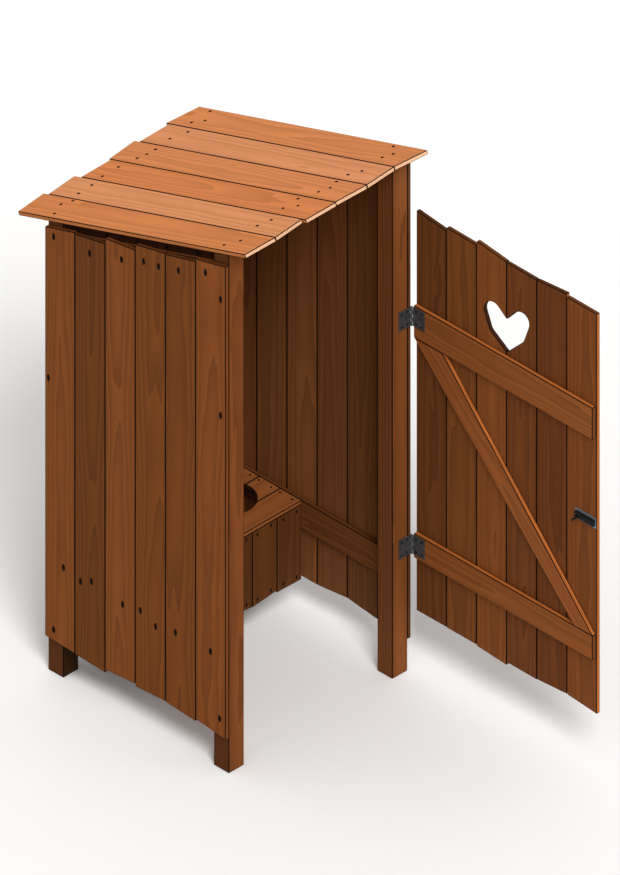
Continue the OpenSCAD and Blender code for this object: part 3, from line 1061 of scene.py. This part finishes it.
@dataclass
class Door:
    """The ledged and braced door.

    Attributes:
        body: The body that it rides on.
        hinge_boards: Stain of each board by the hinges; in all three, the free edge's side comes first.
        heart_boards: Stain of each board with half the heart.
        latch_boards: Stain of each board by the latch.
        ledge: Stain of the upper ledge.
        lower: Stain of the lower ledge.
        brace: Stain of the brace.
        edge: Painted light on the sawn edges of ledges, brace and free board, which are paler and more orange.
        nail_mm: Width and length of a nail head.
        stray_mm: How far the nails stray up or down.
    """

    body: str = "door"
    hinge_boards: tuple[str, ...] = ("#75431E", "#673B1A")
    heart_boards: tuple[str, ...] = ("#6B3B1B", "#804821")
    latch_boards: tuple[str, ...] = ("#79431E", "#663718")
    ledge: str = "#894E25"
    lower: str = "#854B22"
    brace: str = "#8E5027"
    edge: str = "#B9682F"
    nail_mm: tuple[float, float] = (12.0, 25.0)
    stray_mm: float = 20.0

    def pieces(self) -> list[Timber]:
        """Lists the timbers of the door.

        Returns:
            The timbers, not yet built.
        """
        # The brace tapers, so its edges lie inside its box, and none of them is a cut-out.
        no_cut = (math.inf, math.inf)
        return [
            Timber("door_hinge_boards", self.body, DOOR_PINE, self.hinge_boards, row=Run.DEEP),
            Timber("door_heart_boards", self.body, DOOR_PINE, self.heart_boards, row=Run.DEEP),
            # The edges of the free board, ledges and brace carry painted light.
            Timber("door_latch_boards", self.body, DOOR_PINE, self.latch_boards, row=Run.DEEP, edge=self.edge),
            Timber("upper_ledge", self.body, FRAME_PINE, [self.ledge], Run.DEEP, edge=self.edge),
            Timber("lower_ledge", self.body, FRAME_PINE, [self.lower], Run.DEEP, edge=self.edge),
            Timber("door_brace", self.body, FRAME_PINE, [self.brace], Run.LONGEST, edge=self.edge, cut_mm=no_cut),
        ]

    def nails(self) -> list[Nails]:
        """Lists the nails, driven from outside into the ledges, two to a board.

        Returns:
            The nails, not yet built.
        """
        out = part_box("door_heart_boards")[1][0]
        low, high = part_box("door_latch_boards")[0][1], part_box("door_hinge_boards")[1][1]
        count = len(self.hinge_boards) + len(self.heart_boards) + len(self.latch_boards)
        spots = []
        for name in ("upper_ledge", "lower_ledge"):
            foot, head = (corner[2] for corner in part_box(name))
            for place, chance in pairs(low, high, count, name):
                z = (foot + head) / 2 + chance.uniform(-self.stray_mm, self.stray_mm) * MM
                spots.append((Vector((out, place, z)), RIGHT))
        return [Nails("door_nails", self.body, spots, *self.nail_mm, Run.UP)]


@dataclass
class Ironwork:
    """The two butt hinges and the slide bolt.

    Attributes:
        fixed_leaves: Nodes of the hinge leaves on the post.
        door_leaves: Nodes of the hinge leaves on the door.
        plate_mm: Thickness of a leaf.
        head_mm: Width of a screw head.
        dome_mm: Height of a screw head.
        end_mm: Distance of a screw from a leaf's end.
        reach_mm: Distances of the screws from the hinge axis.
    """

    fixed_leaves: tuple[str, ...] = ("upper_hinge_post_leaf", "lower_hinge_post_leaf")
    door_leaves: tuple[str, ...] = ("upper_hinge_door_leaf", "lower_hinge_door_leaf")
    plate_mm: float = 2.0
    head_mm: float = 8.0
    dome_mm: float = 1.6
    end_mm: float = 14.0
    reach_mm: tuple[float, float] = (20.0, 46.0)

    def pieces(self) -> list[Metalwork]:
        """Lists the steel pieces.

        Returns:
            The pieces, not yet built.
        """
        made = [Metalwork(name, "outhouse", BLACK_STEEL) for name in self.fixed_leaves]
        made += [Metalwork(name, "door", BLACK_STEEL) for name in self.door_leaves]
        made.append(Metalwork("latch_plate", "door", ZINC_STEEL))
        made.append(Metalwork("latch_case", "door", BOLT_STEEL))
        made.append(Metalwork("latch_bolt", "latch", BOLT_STEEL))
        return made

    def screws(self, axis: Sequence[float]) -> list[Nails]:
        """Lists the hinge screws, four to a leaf.

        Args:
            axis: A point on the hinge axis.

        Returns:
            The screws of the fixed leaves and those of the door's leaves, not yet built.
        """
        plate = self.plate_mm * MM
        fixed, moving = [], []
        for name in self.fixed_leaves:
            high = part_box(name)[1]
            fixed += [(Vector((axis[0] - reach, high[1] - plate, z)), FRONT) for reach, z in self._holes(name)]
        for name in self.door_leaves:
            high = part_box(name)[1]
            moving += [(Vector((high[0] - plate, axis[1] - reach, z)), LEFT) for reach, z in self._holes(name)]
        return [
            Nails("post_hinge_screws", "outhouse", fixed, self.head_mm, self.head_mm, Run.UP, self.dome_mm),
            Nails("door_hinge_screws", "door", moving, self.head_mm, self.head_mm, Run.UP, self.dome_mm),
        ]

    def _holes(self, leaf: str) -> list[tuple[float, float]]:
        """Sets out the screw holes of a leaf.

        Args:
            leaf: The leaf's node.

        Returns:
            Each hole's distance from the hinge axis, with its height.
        """
        low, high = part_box(leaf)
        ends = (low[2] + self.end_mm * MM, high[2] - self.end_mm * MM)
        return [(reach * MM, z) for reach in self.reach_mm for z in ends]


@dataclass
class Stage:
    """Floor, light and camera.

    Attributes:
        frame_px: Width and height of the image.
        px_per_m: Scale of the image, which is an orthographic isometric view.
        corner_px: Pixel of the front left post's outer front corner at the ground.
        azimuth: Angle of the camera round the outhouse, in degrees.
        elevation: Angle of the camera over the ground, in degrees.
        distance_m: Distance of the camera from what it looks at.
        far_m: How far the camera sees.
        floor: Colour of the floor.
        floor_rough: Roughness of the floor.
        floor_half_m: Half the floor's width.
        floor_drop_mm: Depth of the floor under the feet.
        sky: Strength of the light from all round.
        sun: Strength of the key light.
        sun_from: Direction that the key light comes from.
        sun_spread: Angle of the key light in degrees, wide for soft shadows.
    """

    frame_px: tuple[int, int] = (620, 875)
    px_per_m: float = 293.73
    corner_px: tuple[float, float] = (228.9, 773.6)
    azimuth: float = -45.0
    elevation: float = 35.264
    distance_m: float = 8.0
    far_m: float = 100.0
    floor: str = "#F4F3F1"
    floor_rough: float = 0.9
    floor_half_m: float = 20.0
    floor_drop_mm: float = 0.5
    sky: float = 0.68
    sun: float = 2.0
    sun_from: tuple[float, float, float] = (-0.45, -0.75, 1.0)
    sun_spread: float = 20.0

    def build(self, plan: Plan) -> None:
        """Makes the floor, the light and the camera.

        Args:
            plan: The plan frame.
        """
        bpy.context.scene.view_settings.view_transform = "Standard"
        self._floor()
        self._sky()
        self._key()
        self._camera(plan)

    def _floor(self) -> None:
        """A pale matt floor just under the feet."""
        half, drop = self.floor_half_m, -self.floor_drop_mm * MM
        mesh = bmesh.new()
        corners = [(-half, -half, drop), (half, -half, drop), (half, half, drop), (-half, half, drop)]
        mesh.faces.new([mesh.verts.new(corner) for corner in corners])
        material, _, shader = new_material("pale_floor")
        shader.inputs["Base Color"].default_value = linear(self.floor)
        shader.inputs["Roughness"].default_value = self.floor_rough
        floor = new_piece("floor", mesh, material)

    def _sky(self) -> None:
        """An even sky that lights at its strength and is seen, directly or mirrored, as plain white."""
        world = bpy.data.worlds.new("studio")
        bpy.context.scene.world = world
        world.use_nodes = True
        tree = world.node_tree
        tree.nodes.clear()
        path = add_node(tree, "ShaderNodeLightPath").outputs
        mirrored = calc(tree, "MAXIMUM", path["Is Glossy Ray"], path["Is Transmission Ray"])
        seen = calc(tree, "MAXIMUM", path["Is Camera Ray"], mirrored)
        glow = {"Color": (1.0, 1.0, 1.0, 1.0), "Strength": spread(tree, seen, (self.sky, 1.0))}
        light = add_node(tree, "ShaderNodeBackground", inputs=glow)
        add_node(tree, "ShaderNodeOutputWorld", inputs={"Surface": light.outputs[0]})

    def _key(self) -> None:
        """One soft key light."""
        lamp = bpy.data.lights.new("key", "SUN")
        lamp.energy = self.sun
        lamp.angle = math.radians(self.sun_spread)
        key = bpy.data.objects.new("key", lamp)
        key.rotation_mode = "QUATERNION"
        key.rotation_quaternion = Vector(self.sun_from).to_track_quat("Z", "Y")
        bpy.context.scene.collection.objects.link(key)

    def _camera(self, plan: Plan) -> None:
        """An orthographic camera at the image's isometric angle, framed by the left foot's pixel.

        Args:
            plan: The plan frame.
        """
        turn, rise = math.radians(self.azimuth), math.radians(self.elevation)
        back = Vector((math.sin(turn) * math.cos(rise), -math.cos(turn) * math.cos(rise), math.sin(rise)))
        right = Vector((math.cos(turn), math.sin(turn), 0.0))
        up = back.cross(right)
        width, height = self.frame_px
        shift = (self.corner_px[0] - width / 2, height / 2 - self.corner_px[1])
        aim = plan.at(0, 0, 0) - (right * shift[0] + up * shift[1]) / self.px_per_m
        data = bpy.data.cameras.new("camera")
        data.type = "ORTHO"
        data.ortho_scale = height / self.px_per_m
        data.clip_end = self.far_m
        camera = bpy.data.objects.new("camera", data)
        camera.rotation_mode = "QUATERNION"
        camera.rotation_quaternion = back.to_track_quat("Z", "Y")
        camera.location = aim + back * self.distance_m
        bpy.context.scene.collection.objects.link(camera)
        bpy.context.scene.camera = camera


def main() -> None:
    """Builds the stage and every sub-assembly in order."""
    logging.basicConfig(level=logging.INFO, format="%(name)s: %(message)s")
    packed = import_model()
    plan = Plan()
    Stage().build(plan)
    walls, roof, bench, door, iron = Walls(), Roof(), Bench(), Door(), Ironwork()
    made: dict[str, Piece] = {}
    for part in (Frame(), walls, roof, bench, door, iron):
        for item in part.pieces():
            made[item.node] = item.build(packed["nodes"])
            LOG.info("%s: %d faces", made[item.node].name, len(made[item.node].data.polygons))
    axis = packed["record"]["behaviour"]["joints"][0]["pos_m"]
    heads = walls.nails(plan) + roof.nails(plan, made) + bench.nails() + door.nails() + iron.screws(axis)
    for nails in heads:
        piece = nails.build()
        LOG.info("%s: %d heads", piece.name, len(nails.spots))


if __name__ == "__main__":
    main()
